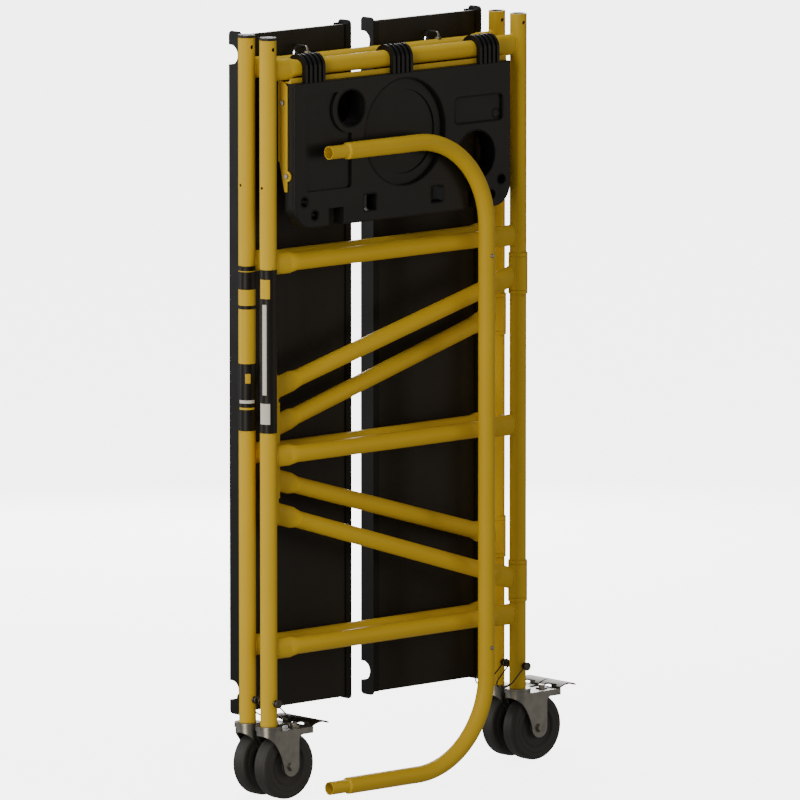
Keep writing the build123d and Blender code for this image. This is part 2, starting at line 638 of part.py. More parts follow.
with BuildPart() as tray:
    with BuildSketch(face):
        with BuildLine():
            FilletPolyline((tray_left, TRAY_TOP), (tray_left, TRAY_BOTTOM), (tray_right, TRAY_BOTTOM),
                           (tray_right, TRAY_TOP), radius=TRAY_CORNER_R)
            Line((tray_right, TRAY_TOP), (tray_left, TRAY_TOP))
        make_face()
    extrude(amount=-tray_depth)
    fillet(tray.edges().group_by(Axis.Y)[0], 3)
    # hollow back, leaving the face and a rim
    with BuildSketch(face.offset(-TRAY_WALL)):
        with BuildLine():
            FilletPolyline((tray_left + TRAY_WALL, TRAY_TOP - TRAY_WALL),
                           (tray_left + TRAY_WALL, TRAY_BOTTOM + TRAY_WALL),
                           (tray_right - TRAY_WALL, TRAY_BOTTOM + TRAY_WALL),
                           (tray_right - TRAY_WALL, TRAY_TOP - TRAY_WALL), radius=TRAY_CORNER_R - TRAY_WALL)
            Line((tray_right - TRAY_WALL, TRAY_TOP - TRAY_WALL), (tray_left + TRAY_WALL, TRAY_TOP - TRAY_WALL))
        make_face()
    extrude(amount=-tray_depth, mode=Mode.SUBTRACT)
    # backing behind each recess and a boss around each hole
    with BuildSketch(face.offset(-TRAY_WALL / 2)):
        with Locations(basin_centre):
            Circle(BASIN[2] + TRAY_WALL)
    extrude(amount=-(BASIN_DEPTH + 1 + TRAY_WALL / 2))
    with BuildSketch(face.offset(-TRAY_WALL / 2)):
        for x, height, width, tall in (SHALLOW_BASIN, SMALL_BASIN):
            with Locations((X_LEFT + x, height)):
                Rectangle(width + 2 * TRAY_WALL, tall + 2 * TRAY_WALL)
    extrude(amount=-(STEP_DEPTH + TRAY_WALL / 2))
    with BuildSketch(face.offset(-TRAY_WALL / 2)):
        for x, height, radius in round_holes:
            with Locations((x, height)):
                Circle(radius + TRAY_WALL)
        for x, height in SQUARE_HOLES:
            with Locations((X_LEFT + x, height)):
                Rectangle(2 * SQUARE_HALF + 2 * TRAY_WALL, 2 * SQUARE_HALF + 2 * TRAY_WALL)
        for x in NOTCHES:
            with Locations((X_LEFT + x, TRAY_BOTTOM + NOTCH_HEIGHT / 2 + TRAY_WALL / 2)):
                Rectangle(NOTCH_WIDTH + 2 * TRAY_WALL, NOTCH_HEIGHT + TRAY_WALL)
    extrude(amount=-(tray_depth - TRAY_WALL / 2))
    # the bucket holes run on into short tubes behind the tray
    with BuildSketch(face.offset(-TRAY_WALL / 2)):
        for x, height, radius in BUCKET_HOLES:
            with Locations((X_LEFT + x, height)):
                Circle(radius + TRAY_WALL)
    extrude(amount=-(BUCKET_TUBE_DEPTH - TRAY_WALL / 2))
    # the recesses themselves
    with BuildSketch(face):
        with Locations(basin_centre):
            Circle(BASIN[2])
    extrude(amount=-STEP_DEPTH, mode=Mode.SUBTRACT)
    with BuildSketch(face):
        with Locations(basin_centre):
            Circle(BASIN_STEP_R)
    extrude(amount=-BASIN_DEPTH, mode=Mode.SUBTRACT)
    with BuildSketch(face):
        for x, height, width, tall in (SHALLOW_BASIN, SMALL_BASIN):
            with Locations((X_LEFT + x, height)):
                RectangleRounded(width, tall, BASIN_CORNER_R)
        x, height, radius = BUCKET_HOLES[0]
        with Locations((X_LEFT + x, height)):
            Circle(radius + BUCKET_RIM, mode=Mode.SUBTRACT)
    extrude(amount=-SHALLOW_DEPTH, mode=Mode.SUBTRACT)
    # holes right through
    with BuildSketch(face.offset(1)):
        for x, height, radius in round_holes:
            with Locations((x, height)):
                Circle(radius)
        for x, height in SQUARE_HOLES:
            with Locations((X_LEFT + x, height)):
                RectangleRounded(2 * SQUARE_HALF, 2 * SQUARE_HALF, SQUARE_CORNER_R)
        for x in NOTCHES:
            with Locations((X_LEFT + x, TRAY_BOTTOM + NOTCH_HEIGHT / 2)):
                Rectangle(NOTCH_WIDTH, NOTCH_HEIGHT + 1)
    extrude(amount=-BUCKET_TUBE_DEPTH - 2, mode=Mode.SUBTRACT)
    # hooks: a plain band with ribs on it, from the face up and over the rung
    tip = radians(HOOK_TIP_ANGLE)
    for n in (-1, 0, 1):
        hook_middle = tray_middle + n * HOOK_SPREAD
        band = [(hook_middle, HOOK_WIDTH, HOOK_BASE_R)]
        rib_pitch = (HOOK_WIDTH - HOOK_RIB_WIDTH) / (HOOK_RIBS - 1)
        ribs = [(hook_middle + (r - (HOOK_RIBS - 1) / 2) * rib_pitch, HOOK_RIB_WIDTH, HOOK_RIB_R)
                for r in range(HOOK_RIBS)]
        for x, width, outer in band + ribs:
            with BuildSketch(Plane((x, Y_FRONT, TOP_RUNG), x_dir=(0, 1, 0), z_dir=(1, 0, 0))):
                with BuildLine():
                    over = ThreePointArc((-outer, 0), (0, outer), (outer * cos(tip), outer * sin(tip)))
                    nose = Line(over @ 1, (HOOK_R * cos(tip), HOOK_R * sin(tip)))
                    within = ThreePointArc(nose @ 1, (0, HOOK_R), (-HOOK_R, 0))
                    foot = TRAY_TOP - TOP_RUNG - HOOK_FOOT
                    Polyline(within @ 1, (-HOOK_R, foot), (-outer, foot), over @ 0)
                make_face()
            extrude(amount=width / 2, both=True)
save(tray, "tool_tray")

# steel angle along the tray's top edge, just under the rung
bar_front = Y_FRONT + BAR_FRONT
bar_back = Y_FRONT
bar_top = TOP_RUNG - HOOK_R - 0.3
with BuildPart() as crossbar:
    with BuildSketch(Plane((tray_left, 0, 0), x_dir=(0, 1, 0), z_dir=(1, 0, 0))):
        Polygon((bar_front, TRAY_TOP), (bar_back, TRAY_TOP), (bar_back, TRAY_TOP + BAR_STEEL),
                (bar_front + BAR_STEEL, TRAY_TOP + BAR_STEEL), (bar_front + BAR_STEEL, bar_top),
                (bar_front, bar_top), align=None)
    extrude(amount=tray_right - tray_left)
save(crossbar, "tray_crossbar")

# side arms, an angle with a chamfered head, an ear for the lower bolt and a tapering tail
arm_front = Y_FRONT + ARM_FRONT
arm_back = Y_FRONT + ARM_BACK
arm_bolts = [(Y_FRONT + y, height) for y, height in (UPPER_BOLT, LOWER_BOLT)]
for side, edge, outward in (("left", tray_left, -1), ("right", tray_right, 1)):
    with BuildPart() as arm:
        with BuildSketch(Plane((edge, 0, 0), x_dir=(0, 1, 0), z_dir=(1, 0, 0))):
            Polygon((arm_front, ARM_TOP - ARM_CHAMFER), (arm_front + ARM_CHAMFER, ARM_TOP), (arm_back, ARM_TOP),
                    (arm_back, ARM_WAIST), (Y_FRONT, ARM_BOTTOM), (arm_front + 1, ARM_BOTTOM),
                    (arm_front, ARM_WAIST), align=None)
            with Locations(arm_bolts[1]):
                Circle(EAR_R)
        extrude(amount=outward * ARM_STEEL)
        with BuildSketch(Plane((edge + outward * ARM_STEEL, 0, 0), x_dir=(0, 1, 0), z_dir=(1, 0, 0))):
            with Locations((arm_back - ARM_STEEL / 2, (ARM_TOP + ARM_WAIST) / 2)):
                Rectangle(ARM_STEEL, ARM_TOP - ARM_WAIST)
        extrude(amount=outward * (ARM_LIP - ARM_STEEL))
    save(arm, f"tray_{side}_arm")

with BuildPart() as tray_bolts:
    # pan-head bolts down through the crossbar
    bolt_y = bar_front + BAR_STEEL + BAR_BOLT_R + 0.5
    for x in BAR_BOLTS:
        with BuildSketch(Plane((tray_left + x, bolt_y, TRAY_TOP + BAR_STEEL))):
            Circle(BAR_BOLT_R)
        extrude(amount=BAR_BOLT_HEAD)
    # hexagon bolts through the arms into the tray's sides
    for edge, outward in ((tray_left, -1), (tray_right, 1)):
        for y, height in arm_bolts:
            with BuildSketch(Plane((edge + outward * ARM_STEEL, 0, 0), x_dir=(0, 1, 0), z_dir=(1, 0, 0))):
                with Locations((y, height)):
                    RegularPolygon(ARM_BOLT_R, 6)
            extrude(amount=outward * ARM_BOLT_HEAD)
save(tray_bolts, "tray_bolts")

# ---- Guard rail: two bends and a straight tube, stored standing in front ----

rail_x = X_LEFT + RAIL_UPRIGHT_X
rail_y = Y_FRONT + RAIL_PLANE
tip_x = X_LEFT + RAIL_TIP_X
shoulder_x = tip_x + SPIGOT_LENGTH
upper_leg = RAIL_FOOT + RAIL_LEG_SPACING

for level, leg, splice, turn in (("lower", RAIL_FOOT, SPLICES[0], 1), ("upper", upper_leg, SPLICES[1], -1)):
    bend_end = leg + turn * RAIL_BEND_R
    with BuildPart() as bend:
        with BuildLine(Plane((0, rail_y, 0), x_dir=(1, 0, 0), z_dir=(0, -1, 0))) as route:
            run = Line((shoulder_x + SPIGOT_TAPER, leg), (rail_x - RAIL_BEND_R, leg))
            arc = TangentArc(run @ 1, (rail_x, bend_end), tangent=run % 1)
            Line(arc @ 1, (rail_x, splice))
        start = Plane((shoulder_x + SPIGOT_TAPER, rail_y, leg), x_dir=(0, 1, 0), z_dir=(1, 0, 0))
        with BuildSketch(start):
            Circle(TUBE_R)
        sweep(path=route.wires()[0])
        # swaged spigot at the free end
        with BuildSketch(start):
            Circle(TUBE_R)
        with BuildSketch(start.offset(-SPIGOT_TAPER)):
            Circle(SPIGOT_R)
        loft()
        with BuildSketch(start.offset(-SPIGOT_TAPER)):
            Circle(SPIGOT_R)
        extrude(amount=-SPIGOT_LENGTH)
        # the bore
        with BuildSketch(start):
            Circle(BORE_R)
        sweep(path=route.wires()[0], mode=Mode.SUBTRACT)
        with BuildSketch(start):
            Circle(SPIGOT_R - WALL)
        extrude(amount=-SPIGOT_LENGTH - SPIGOT_TAPER - 1, mode=Mode.SUBTRACT)
        # hole for the snap button
        with BuildSketch(Plane((rail_x, rail_y, splice - turn * BUTTON_OFFSET), x_dir=(1, 0, 0), z_dir=(0, -1, 0))):
            Circle(BUTTON_R + 0.3)
        extrude(amount=TUBE_R + 1, mode=Mode.SUBTRACT)
    save(bend, f"rail_{level}_bend")

with BuildPart() as rail_middle:
    with BuildSketch(Plane((rail_x, rail_y, SPLICES[0]))):
        Circle(TUBE_R)
    extrude(amount=SPLICES[1] - SPLICES[0])
    with BuildSketch(Plane((rail_x, rail_y, SPLICES[0] - SPLICE_OVERLAP))):
        Circle(SPLICE_R)
    extrude(amount=SPLICES[1] - SPLICES[0] + 2 * SPLICE_OVERLAP)
    with BuildSketch(Plane((rail_x, rail_y, SPLICES[0] - SPLICE_OVERLAP))):
        Circle(SPLICE_R - WALL)
    extrude(amount=SPLICES[1] - SPLICES[0] + 2 * SPLICE_OVERLAP, mode=Mode.SUBTRACT)
    for height in (SPLICES[0] - BUTTON_OFFSET, SPLICES[1] + BUTTON_OFFSET):
        with BuildSketch(Plane((rail_x, rail_y, height), x_dir=(1, 0, 0), z_dir=(0, -1, 0))):
            Circle(BUTTON_R + 0.3)
        extrude(amount=TUBE_R + 1, mode=Mode.SUBTRACT)
save(rail_middle, "rail_middle_tube")

for level, height in (("lower", SPLICES[0] - BUTTON_OFFSET), ("upper", SPLICES[1] + BUTTON_OFFSET)):
    with BuildPart() as button:
        with BuildSketch(Plane((rail_x, rail_y - TUBE_R - BUTTON_PROUD, height), x_dir=(1, 0, 0), z_dir=(0, 1, 0))):
            Circle(BUTTON_R)
        extrude(amount=BUTTON_LENGTH)
        fillet(button.edges().group_by(Axis.Y)[0], 2)
    save(button, f"rail_{level}_button")
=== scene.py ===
import json
import math

import bmesh
import bpy
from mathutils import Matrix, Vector, noise


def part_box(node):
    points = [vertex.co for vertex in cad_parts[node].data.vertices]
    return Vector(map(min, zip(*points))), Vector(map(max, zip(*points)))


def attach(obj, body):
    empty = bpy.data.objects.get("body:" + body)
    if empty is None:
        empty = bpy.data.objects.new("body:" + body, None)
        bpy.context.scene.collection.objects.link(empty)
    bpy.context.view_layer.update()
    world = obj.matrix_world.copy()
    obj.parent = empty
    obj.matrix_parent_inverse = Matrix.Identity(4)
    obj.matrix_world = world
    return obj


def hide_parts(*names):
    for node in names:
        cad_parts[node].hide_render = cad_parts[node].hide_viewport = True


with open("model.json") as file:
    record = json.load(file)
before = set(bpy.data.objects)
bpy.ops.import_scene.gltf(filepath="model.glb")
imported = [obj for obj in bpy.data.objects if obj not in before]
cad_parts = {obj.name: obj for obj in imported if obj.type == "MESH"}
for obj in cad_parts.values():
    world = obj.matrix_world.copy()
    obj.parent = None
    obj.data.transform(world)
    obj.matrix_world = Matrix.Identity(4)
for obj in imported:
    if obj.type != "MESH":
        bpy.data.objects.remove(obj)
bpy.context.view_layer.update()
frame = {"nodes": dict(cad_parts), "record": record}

# ---- The studio ----
# A plain pale floor that runs out of sight inside a pale dome, with soft lamps: a broad key
# on the left, a weak fill on the right, one overhead and a pair behind for the far side.


def linear(hex_colour):
    """An sRGB hex colour as linear red, green, blue and a full alpha."""
    channels = [int(hex_colour[i:i + 2], 16) / 255 for i in (1, 3, 5)]
    return [c / 12.92 if c <= 0.04045 else ((c + 0.055) / 1.055) ** 2.4 for c in channels] + [1.0]


def new_material(name):
    """A node material with nothing in it yet, and its tree."""
    material = bpy.data.materials.new(name)
    material.use_nodes = True
    material.node_tree.nodes.clear()
    return material, material.node_tree


def add_node(tree, kind, settings=(), **links):
    """Add a node; settings fill its inputs or its own fields, links join its inputs to outputs."""
    node = tree.nodes.new(kind)
    settings = dict(settings)
    for key in [k for k in settings if k not in node.inputs]:
        setattr(node, key, settings.pop(key))
    for key, value in settings.items():
        node.inputs[key].default_value = value
    for key, source in links.items():
        tree.links.new(source, node.inputs[key.replace("_", " ")])
    return node


PALE = linear("#F4F4F3")
FLOOR_GLOW = 5.2       # bright enough to come out nearly white
# Matt floor paint, lit from within so that the floor and the dome show no edge between them.
floor_paint, tree = new_material("matt floor paint")
shader = add_node(tree, "ShaderNodeBsdfPrincipled", {
    "Base Color": PALE, "Roughness": 0.95, "Specular IOR Level": 0.0,
    "Emission Color": PALE, "Emission Strength": FLOOR_GLOW})
add_node(tree, "ShaderNodeOutputMaterial", Surface=shader.outputs[0])


def backdrop(name, mesh):
    """Stand a floor or a dome in the scene without letting it wash light over the scaffold."""
    data = bpy.data.meshes.new(name)
    mesh.to_mesh(data)
    mesh.free()
    data.materials.append(floor_paint)
    stand = bpy.data.objects.new(name, data)
    bpy.context.scene.collection.objects.link(stand)
    stand.visible_diffuse = stand.visible_glossy = stand.visible_shadow = False


STUDIO_RADIUS = 48.0      # wider than the camera's distance from the opened scaffold
AIR_LIGHT = 0.26
floor = bmesh.new()
bmesh.ops.create_grid(floor, x_segments=1, y_segments=1, size=STUDIO_RADIUS)
backdrop("floor", floor)
dome = bmesh.new()
bmesh.ops.create_uvsphere(dome, u_segments=48, v_segments=24, radius=STUDIO_RADIUS)
backdrop("dome", dome)

world = bpy.data.worlds.new("dim studio air")
world.use_nodes = True
world.node_tree.nodes["Background"].inputs["Color"].default_value = linear("#FFFBF2")
world.node_tree.nodes["Background"].inputs["Strength"].default_value = AIR_LIGHT
bpy.context.scene.world = world

lamp_aim = Vector((0.0, 0.0, 0.7))
for lamp_name, place, width, height, power, colour in (
    ("key lamp", (-2.1, -0.75, 1.0), 0.8, 2.8, 33.0, "#FFF4DC"),
    ("fill lamp", (3.2, -4.2, 1.4), 1.6, 2.6, 28.0, "#FFF0DA"),
    ("top lamp", (-0.3, 0.8, 4.6), 2.0, 2.0, 66.0, "#FFFFFF"),
    ("rear lamp", (1.9, 2.6, 1.5), 1.6, 2.2, 70.0, "#FFFFFF"),
    ("rear fill lamp", (-2.4, 2.4, 1.2), 1.4, 2.4, 30.0, "#FFFFFF"),
):
    lamp_data = bpy.data.lights.new(lamp_name, "AREA")
    lamp_data.shape = "RECTANGLE"
    lamp_data.size = width
    lamp_data.size_y = height
    lamp_data.energy = power
    lamp_data.color = linear(colour)[:3]
    lamp = bpy.data.objects.new(lamp_name, lamp_data)
    lamp.location = place
    lamp.rotation_euler = (lamp_aim - Vector(place)).to_track_quat("-Z", "Y").to_euler()
    bpy.context.scene.collection.objects.link(lamp)

# The camera stands far off to the left with a long lens, so that upright tubes stay upright.
AZIMUTH = math.radians(-42.0)
ELEVATION = math.radians(8.5)
VIEW_WIDTH = 1.496
LENS = 600.0
SENSOR = 36.0
AIM_RIGHT = 0.245      # from the foot of the front left post
AIM_UP = 0.749
view_right = Vector((math.cos(AZIMUTH), math.sin(AZIMUTH), 0))
view_back = Vector((math.sin(AZIMUTH) * math.cos(ELEVATION),
                    -math.cos(AZIMUTH) * math.cos(ELEVATION),
                    math.sin(ELEVATION)))
view_up = view_back.cross(view_right)
post_low, post_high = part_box("front_left_post")
post_foot = Vector(((post_low.x + post_high.x) / 2, (post_low.y + post_high.y) / 2, 0))
camera_data = bpy.data.cameras.new("camera")
camera_data.lens = LENS
camera_data.sensor_width = SENSOR
camera_data.clip_end = 3 * STUDIO_RADIUS
camera = bpy.data.objects.new("camera", camera_data)
camera.location = (post_foot + AIM_RIGHT * view_right + AIM_UP * view_up
                   + view_back * VIEW_WIDTH * LENS / SENSOR)
camera.rotation_euler = view_back.to_track_quat("Z", "Y").to_euler()
bpy.context.scene.collection.objects.link(camera)
bpy.context.scene.camera = camera

# ---- Ladder frames ----
# Two frames of 1-1/4 in steel tube. Each rung's ends are pressed to an upright oval, butted
# against the posts and welded all round, and the whole frame is powder coated after welding.

MM = 0.001
MERGE = 0.002 * MM      # points closer than this are one point
SHARP = 35.0            # degrees: a sharper edge than this stays crisp
node_body = {node: body for body, nodes in frame["record"]["behaviour"]["bodies"].items()
             for node in nodes}


def finished(name, mesh, body, materials, replaced=(), sharp=SHARP):
    """Make a mesh a piece of the scaffold: smooth with crisp edges, on its body, in its finish."""
    data = bpy.data.meshes.new(name)
    mesh.to_mesh(data)
    mesh.free()
    for material in materials:
        data.materials.append(material)
    data.shade_smooth()
    data.set_sharp_from_angle(angle=math.radians(sharp))
    piece = bpy.data.objects.new(name, data)
    bpy.context.scene.collection.objects.link(piece)
    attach(piece, body)
    if replaced:
        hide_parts(*replaced)
    flats = piece.modifiers.new("keep the flats flat", "WEIGHTED_NORMAL")
    flats.keep_sharp = True
    return piece


FLAT = math.radians(0.6)      # facets that differ by less are one flat face
HARD = math.radians(40)       # an edge sharper than this is rounded


def softened(node, edge=0.0, steps=2):
    """A merged copy of a CAD node's mesh, its hard edges rounded to the given size."""
    mesh = bmesh.new()
    mesh.from_mesh(frame["nodes"][node].data)
    bmesh.ops.remove_doubles(mesh, verts=mesh.verts, dist=MERGE)
    for face in mesh.faces:
        face.material_index = 0
    if edge:
        bmesh.ops.dissolve_limit(mesh, angle_limit=FLAT, verts=mesh.verts, edges=mesh.edges)
        hard = [e for e in mesh.edges if len(e.link_faces) == 2 and e.calc_face_angle() > HARD]
        bmesh.ops.bevel(mesh, geom=hard, offset=edge, offset_type="OFFSET", segments=steps,
                        profile=0.5, affect="EDGES", clamp_overlap=True, material=-1)
    return mesh


def centre_of(node):
    """The middle of a CAD node's box."""
    low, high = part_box(node)
    return (low + high) / 2


BEAD_SIDES = 2      # the curve's own count of extra sides in a quarter turn


def bead_mesh(runs, radius):
    """A round bead along each closed run of (point, thickness) pairs, as a mesh."""
    curve = bpy.data.curves.new("bead", "CURVE")
    curve.dimensions = "3D"
    curve.bevel_depth = radius
    curve.bevel_resolution = BEAD_SIDES
    for run in runs:
        spline = curve.splines.new("POLY")
        spline.points.add(len(run) - 1)
        for point, (place, thickness) in zip(spline.points, run):
            point.co = (*place, 1)
            point.radius = thickness
        spline.use_cyclic_u = True
    holder = bpy.data.objects.new("bead", curve)
    mesh = bmesh.new()
    mesh.from_mesh(bpy.data.meshes.new_from_object(holder))
    bpy.data.objects.remove(holder)
    bmesh.ops.remove_doubles(mesh, verts=mesh.verts, dist=MERGE)
    bmesh.ops.recalc_face_normals(mesh, faces=mesh.faces)
    return mesh


OVAL_TALL = 20 * MM
OVAL_THIN = 10 * MM
TUBE_R = 15.9 * MM
SLEEVE_R = 18.25 * MM
BEAD_R = 2.3 * MM
BEAD_STATIONS = 168
BEAD_RIPPLES = 28      # a ripple every 3.5 mm or so, where the torch paused
RIPPLE_DEPTH = 0.13    # of the bead's radius
LUMP_DEPTH = 0.25
LUMP_SCALE = 90        # lumps of about 11 mm


def weld_run(post, post_r, end, along):
    """Where an oval tube that points along meets an upright post: a closed run for the bead."""
    tall = (Vector((0, 0, 1)) - along * along.z).normalized()
    thin = along.cross(tall)
    run = []
    for n in range(BEAD_STATIONS):
        turn = math.tau * n / BEAD_STATIONS
        start = end + tall * OVAL_TALL * math.cos(turn) + thin * OVAL_THIN * math.sin(turn)
        # distance along the tube to the post's wall, in plan
        off = Vector((start.x - post.x, start.y - post.y))
        flat = Vector((along.x, along.y))
        a, b, c = flat.dot(flat), off.dot(flat), off.dot(off) - post_r ** 2
        travel = (-b - math.sqrt(b * b - a * c)) / a
        thickness = (1 + RIPPLE_DEPTH * math.sin(BEAD_RIPPLES * turn)
                     + LUMP_DEPTH * noise.noise(start * LUMP_SCALE))
        run.append((start + along * travel, thickness))
    return run


# Safety yellow polyester powder coat, sprayed and baked: an even satin gloss with a faint
# orange peel, and a slightly deeper yellow where it lies thick.
powder_coat, tree = new_material("safety yellow powder coat")
place = add_node(tree, "ShaderNodeTexCoord").outputs["Object"]
patches = add_node(tree, "ShaderNodeTexNoise", {"Scale": 7.0, "Detail": 4.0}, Vector=place)
tint = add_node(tree, "ShaderNodeMix", {"data_type": "RGBA"})
tree.links.new(patches.outputs["Fac"], tint.inputs[0])
tint.inputs[6].default_value = linear("#CDAA2A")
tint.inputs[7].default_value = linear("#DAB834")
PEEL = 2.5 * MM      # real orange peel is nearer 1 mm; drawn coarser so that it shows
peel = add_node(tree, "ShaderNodeTexNoise", {"Scale": 1 / PEEL, "Detail": 1.0}, Vector=place)
bump = add_node(tree, "ShaderNodeBump", {"Strength": 0.12, "Distance": 0.2 * MM},
                Height=peel.outputs["Fac"])
gloss = add_node(tree, "ShaderNodeMapRange", {"To Min": 0.4, "To Max": 0.52},
                 Value=patches.outputs["Fac"])
shader = add_node(tree, "ShaderNodeBsdfPrincipled", {"IOR": 1.45, "Specular IOR Level": 0.2},
                  Base_Color=tint.outputs[2], Roughness=gloss.outputs["Result"],
                  Normal=bump.outputs["Normal"])
add_node(tree, "ShaderNodeOutputMaterial", Surface=shader.outputs[0])

RUNG_COUNT = 4
frame_posts = {}
for end in ("front", "rear"):
    for side in ("left", "right"):
        node = f"{end}_{side}_post"
        frame_posts[end, side] = centre_of(node)
        finished(f"{node}_tube", softened(node, 0.4 * MM), node_body[node], [powder_coat],
                 [node])
    node = f"{end}_rungs"
    finished(f"{node}_tubes", softened(node), node_body[node], [powder_coat],
             [node])
    finished(f"{end}_truss_rings", softened(f"{end}_stop_rings", 0.8 * MM), node_body[node],
             [powder_coat], [f"{end}_stop_rings"])
    rung_low, rung_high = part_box(node)
    lowest = rung_low.z + OVAL_TALL
    pitch = (rung_high.z - OVAL_TALL - lowest) / (RUNG_COUNT - 1)
    runs = []
    for level in range(RUNG_COUNT):
        for side, along in (("left", Vector((-1, 0, 0))), ("right", Vector((1, 0, 0)))):
            post = frame_posts[end, side]
            middle = Vector((centre_of(node).x, post.y, lowest + level * pitch))
            runs.append(weld_run(post, TUBE_R, middle, along))
    finished(f"{end}_frame_welds", bead_mesh(runs, BEAD_R), f"{end}_frame", [powder_coat])

# ---- Folding side truss ----
# A K-brace of the same tube on each right-hand post. Its sleeves turn on the posts between
# welded rings, and the two halves hinge together on an upright tube at the left.

TRUSS = {      # brace: (heights at the right-hand post, heights at the middle hinge, hinge radius)
    "front_brace": ((349 * MM, 938 * MM), (540 * MM, 768 * MM), TUBE_R),
    "rear_brace": ((427 * MM, 854 * MM), (603 * MM, 697 * MM), SLEEVE_R),
}
hinge = centre_of("front_brace_mid_post")
for brace, (post_heights, hinge_heights, hinge_r) in TRUSS.items():
    post = frame_posts[brace.split("_")[0], "right"]
    runs = []
    for level, post_height, hinge_height in zip(("lower", "upper"), post_heights, hinge_heights):
        node = f"{brace}_{level}_tube"
        finished(f"{node}_diagonal", softened(node), brace, [powder_coat], [node])
        outer = Vector((post.x, post.y, post_height))
        inner = Vector((hinge.x, hinge.y, hinge_height))
        along = (outer - inner).normalized()
        middle = (outer + inner) / 2
        runs += [weld_run(post, SLEEVE_R, middle, along),
                 weld_run(hinge, hinge_r, middle, -along)]
    finished(f"{brace}_welds", bead_mesh(runs, BEAD_R), brace, [powder_coat])
for node in ("front_brace_sleeves", "front_brace_mid_post", "front_brace_mid_rings",
             "rear_brace_sleeves", "rear_brace_mid_sleeve"):
    finished(f"{node}_steel", softened(node, 0.6 * MM), node_body[node], [powder_coat],
             [node])

# ---- Guard rail ----
# Two bent tubes and a straight one, pushed together over swaged ends and held by sprung
# steel buttons. The same powder coat, with a fine seam line at each joint.

for node in ("rail_upper_bend", "rail_middle_tube", "rail_lower_bend"):
    finished(f"{node}_pipe", softened(node, 0.7 * MM), "guard_rail", [powder_coat],
             [node])

# Electroplated zinc, bright and then dulled by handling: satin, cool grey, faintly mottled.
zinc, tree = new_material("zinc plated steel")
place = add_node(tree, "ShaderNodeTexCoord").outputs["Object"]
cloud = add_node(tree, "ShaderNodeTexNoise", {"Scale": 60.0, "Detail": 5.0, "Roughness": 0.6},
                 Vector=place)
tint = add_node(tree, "ShaderNodeMix", {"data_type": "RGBA"})
tree.links.new(cloud.outputs["Fac"], tint.inputs[0])
tint.inputs[6].default_value = linear("#7A7975")
tint.inputs[7].default_value = linear("#A5A4A0")
gloss = add_node(tree, "ShaderNodeMapRange", {"To Min": 0.28, "To Max": 0.42},
                 Value=cloud.outputs["Fac"])
GRAIN = 0.8 * MM      # the rolled sheet's own fine grain
grain = add_node(tree, "ShaderNodeTexNoise", {"Scale": 1 / GRAIN, "Detail": 2.0}, Vector=place)
bump = add_node(tree, "ShaderNodeBump", {"Strength": 0.08, "Distance": 0.05 * MM},
                Height=grain.outputs["Fac"])
shader = add_node(tree, "ShaderNodeBsdfPrincipled", {"Metallic": 1.0}, Base_Color=tint.outputs[2],
                  Roughness=gloss.outputs["Result"], Normal=bump.outputs["Normal"])
add_node(tree, "ShaderNodeOutputMaterial", Surface=shader.outputs[0])

for level in ("upper", "lower"):
    node = f"rail_{level}_button"
    finished(f"{node}_dome", softened(node, 0.5 * MM), f"{level}_button", [zinc],
             [node])

# ---- Post tops ----
# The closed left posts carry a pressed-in polyethylene cap, the open right posts a steel bush
# for the guard rail's spigots.

# Injection moulded polyethylene: black, waxy and a little glossy.
cap_plastic, tree = new_material("black polyethylene")
place = add_node(tree, "ShaderNodeTexCoord").outputs["Object"]
flow = add_node(tree, "ShaderNodeTexNoise", {"Scale": 120.0, "Detail": 2.0}, Vector=place)
gloss = add_node(tree, "ShaderNodeMapRange", {"To Min": 0.42, "To Max": 0.55},
                 Value=flow.outputs["Fac"])
shader = add_node(tree, "ShaderNodeBsdfPrincipled", {"Base Color": linear("#1C1C1C"), "IOR": 1.5},
                  Roughness=gloss.outputs["Result"])
add_node(tree, "ShaderNodeOutputMaterial", Surface=shader.outputs[0])
for end in ("front", "rear"):
    node = f"{end}_post_cap"
    finished(f"{node}_moulding", softened(node), node_body[node], [cap_plastic],
             [node])
    node = f"{end}_post_socket"
    finished(f"{node}_bush", softened(node, 0.4 * MM), node_body[node], [zinc],
             [node])

# ---- Post labels ----
# Printed vinyl wrapped round each left-hand post over the powder coat: black film with plain
# yellow and white blocks and no lettering.

# Cast vinyl film: smooth and slightly glossy, in black, yellow and white.
vinyl = []
for colour_name, colour in (("black", "#171717"), ("yellow", "#D3B024"), ("white", "#D9D9D6")):
    film, tree = new_material(f"{colour_name} vinyl film")
    place = add_node(tree, "ShaderNodeTexCoord").outputs["Object"]
    ripple = add_node(tree, "ShaderNodeTexNoise", {"Scale": 45.0, "Detail": 1.0}, Vector=place)
    gloss = add_node(tree, "ShaderNodeMapRange", {"To Min": 0.36, "To Max": 0.46},
                     Value=ripple.outputs["Fac"])
    shader = add_node(tree, "ShaderNodeBsdfPrincipled",
                      {"Base Color": linear(colour), "IOR": 1.4, "Specular IOR Level": 0.35},
                      Roughness=gloss.outputs["Result"])
    add_node(tree, "ShaderNodeOutputMaterial", Surface=shader.outputs[0])
    vinyl.append(film)

